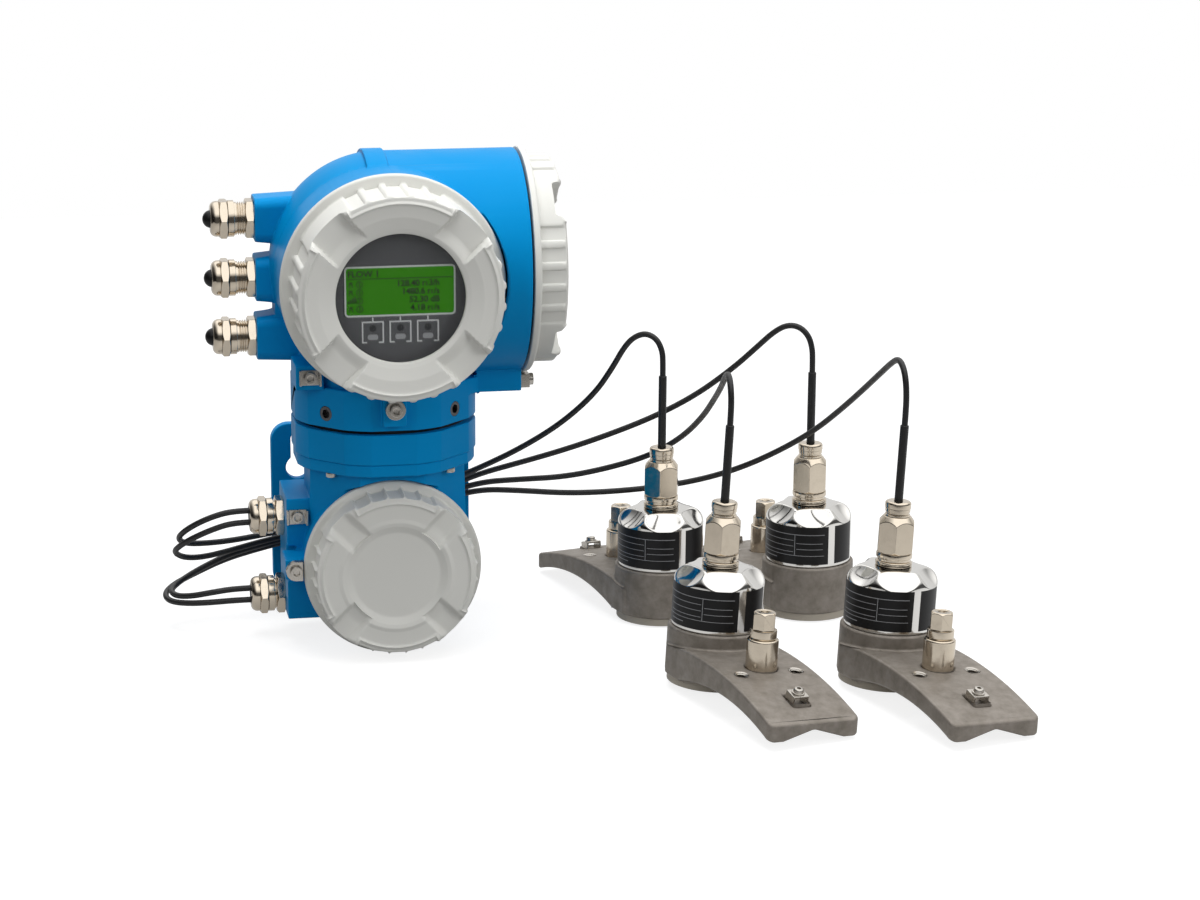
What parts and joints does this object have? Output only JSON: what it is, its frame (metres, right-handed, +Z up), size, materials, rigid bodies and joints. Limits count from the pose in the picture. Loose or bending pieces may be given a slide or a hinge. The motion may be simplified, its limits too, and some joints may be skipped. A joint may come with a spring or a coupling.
{
  "type": "clamp-on ultrasonic flow meter",
  "caption": "Clamp-on ultrasonic flow meter: a swivelling transmitter head with screwed lids and a display on a wall bracket, cabled to transducers with arched strap-on pipe holders.",
  "frame": {"origin": "midway between the two lower wall bolts, on the back face of the wall bracket", "axes": "+X to the right as seen from the front, +Y back into the wall, +Z up; the display looks along -Y"},
  "size_m": [0.5118, 0.4439, 0.3264],
  "materials": {
    "housing_blue": "powder coat, satin",
    "lid_grey": "powder coat, satin",
    "bracket_steel": "powder-coated steel, satin",
    "seal_rubber": "matt",
    "window_glass": "clear, polished",
    "display_face": "satin",
    "module_plastic": "matt",
    "stainless": "machined",
    "nickel_brass": "nickel-plated",
    "plug_plastic": "satin",
    "cast_stainless": "bead-blasted",
    "element_face": "matt",
    "polished_stainless": "polished",
    "cable_black": "satin"
  },
  "bodies": {
    "base": {"connection_housing": "housing_blue", "swivel_ring": "housing_blue", "wall_bracket": "bracket_steel", "swivel_seal": "seal_rubber", "sensor_terminal_block": "module_plastic", "connection_lid_clamp": "stainless", "base_screws": "stainless", "ring_screws": "stainless", "bracket_screws": "stainless", "base_earth_clip": "stainless", "sensor_earth_clips": "stainless", "sensor_earth_screws": "stainless", "strap_stud_sleeves": "stainless", "strap_stud_pins": "stainless", "sensor_gland_bodies": "nickel_brass", "sensor_gland_nuts": "nickel_brass", "connector_body_1": "nickel_brass", "connector_body_2": "nickel_brass", "connector_body_3": "nickel_brass", "connector_body_4": "nickel_brass", "connector_nuts": "nickel_brass", "sensor_gland_inserts": "seal_rubber", "holder_1": "cast_stainless", "holder_2": "cast_stainless", "holder_3": "cast_stainless", "holder_4": "cast_stainless", "sensor_element_1": "element_face", "sensor_element_2": "element_face", "sensor_element_3": "element_face", "sensor_element_4": "element_face", "cable_sleeves": "cable_black", "cable_1": "cable_black", "cable_2": "cable_black", "cable_3": "cable_black", "cable_4": "cable_black"},
    "head": {"head_housing": "housing_blue", "electronics_module": "module_plastic", "terminal_block": "module_plastic", "front_lid_clamp": "stainless", "terminal_lid_clamp": "stainless", "head_screws": "stainless", "head_gland_bodies": "nickel_brass", "head_gland_nuts": "nickel_brass", "head_gland_plugs": "plug_plastic", "head_earth_clip": "stainless", "neck_set_screws": "stainless"},
    "display": {"display_carrier": "module_plastic", "display_panel": "display_face"},
    "front_seal": {"front_lid_seal": "seal_rubber"},
    "front_lid": {"front_lid": "lid_grey", "sight_glass": "window_glass"},
    "terminal_seal": {"terminal_lid_seal": "seal_rubber"},
    "terminal_lid": {"terminal_lid": "lid_grey"},
    "connection_seal": {"connection_lid_seal": "seal_rubber"},
    "connection_lid": {"connection_lid": "lid_grey"},
    "cap_1": {"cap_1": "polished_stainless"},
    "cap_2": {"cap_2": "polished_stainless"},
    "cap_3": {"cap_3": "polished_stainless"},
    "cap_4": {"cap_4": "polished_stainless"}
  },
  "joints": [
    {"name": "head_swivel", "type": "hinge", "parent": "base", "child": "head", "pos_m": [0, -0.085, 0.1255], "axis": [0, 0, 1], "range_deg": [-175, 175]},
    {"name": "display_turn", "type": "hinge", "parent": "head", "child": "display", "pos_m": [0, -0.16, 0.221], "axis": [0, -1, 0], "range_deg": [-180, 180]},
    {"name": "front_lid_travel", "type": "slide", "parent": "head", "child": "front_seal", "axis": [0, -1, 0], "range_m": [0, 0.01]},
    {"name": "front_lid_turn", "type": "hinge", "parent": "front_seal", "child": "front_lid", "pos_m": [0, -0.146, 0.221], "axis": [0, -1, 0], "range_deg": [0, 1800]},
    {"name": "terminal_lid_travel", "type": "slide", "parent": "head", "child": "terminal_seal", "axis": [1, 0, 0], "range_m": [0, 0.01]},
    {"name": "terminal_lid_turn", "type": "hinge", "parent": "terminal_seal", "child": "terminal_lid", "pos_m": [0.09, -0.085, 0.2243], "axis": [1, 0, 0], "range_deg": [0, 1800]},
    {"name": "connection_lid_travel", "type": "slide", "parent": "base", "child": "connection_seal", "axis": [0, -1, 0], "range_m": [0, 0.01]},
    {"name": "connection_lid_turn", "type": "hinge", "parent": "connection_seal", "child": "connection_lid", "pos_m": [0, -0.127, 0.031], "axis": [0, -1, 0], "range_deg": [0, 1800]},
    {"name": "cap_turn_1", "type": "hinge", "parent": "base", "child": "cap_1", "pos_m": [0.189, -0.078, -0.02684], "axis": [0.0051, 0.0014, 1], "range_deg": [0, 60]},
    {"name": "cap_turn_2", "type": "hinge", "parent": "base", "child": "cap_2", "pos_m": [0.291, -0.083, -0.02684], "axis": [0.0051, 0.0014, 1], "range_deg": [0, 60]},
    {"name": "cap_turn_3", "type": "hinge", "parent": "base", "child": "cap_3", "pos_m": [0.1925, -0.231, -0.02508], "axis": [0.059, 0.0158, 0.9981], "range_deg": [0, 60]},
    {"name": "cap_turn_4", "type": "hinge", "parent": "base", "child": "cap_4", "pos_m": [0.301, -0.249, -0.02508], "axis": [0.059, 0.0158, 0.9981], "range_deg": [0, 60]}
  ],
  "couplings": [
    {"joint": "front_lid_travel", "follows": "front_lid_turn", "m_per_rad": 0.00031831},
    {"joint": "terminal_lid_travel", "follows": "terminal_lid_turn", "m_per_rad": 0.00031831},
    {"joint": "connection_lid_travel", "follows": "connection_lid_turn", "m_per_rad": 0.00031831}
  ]
}
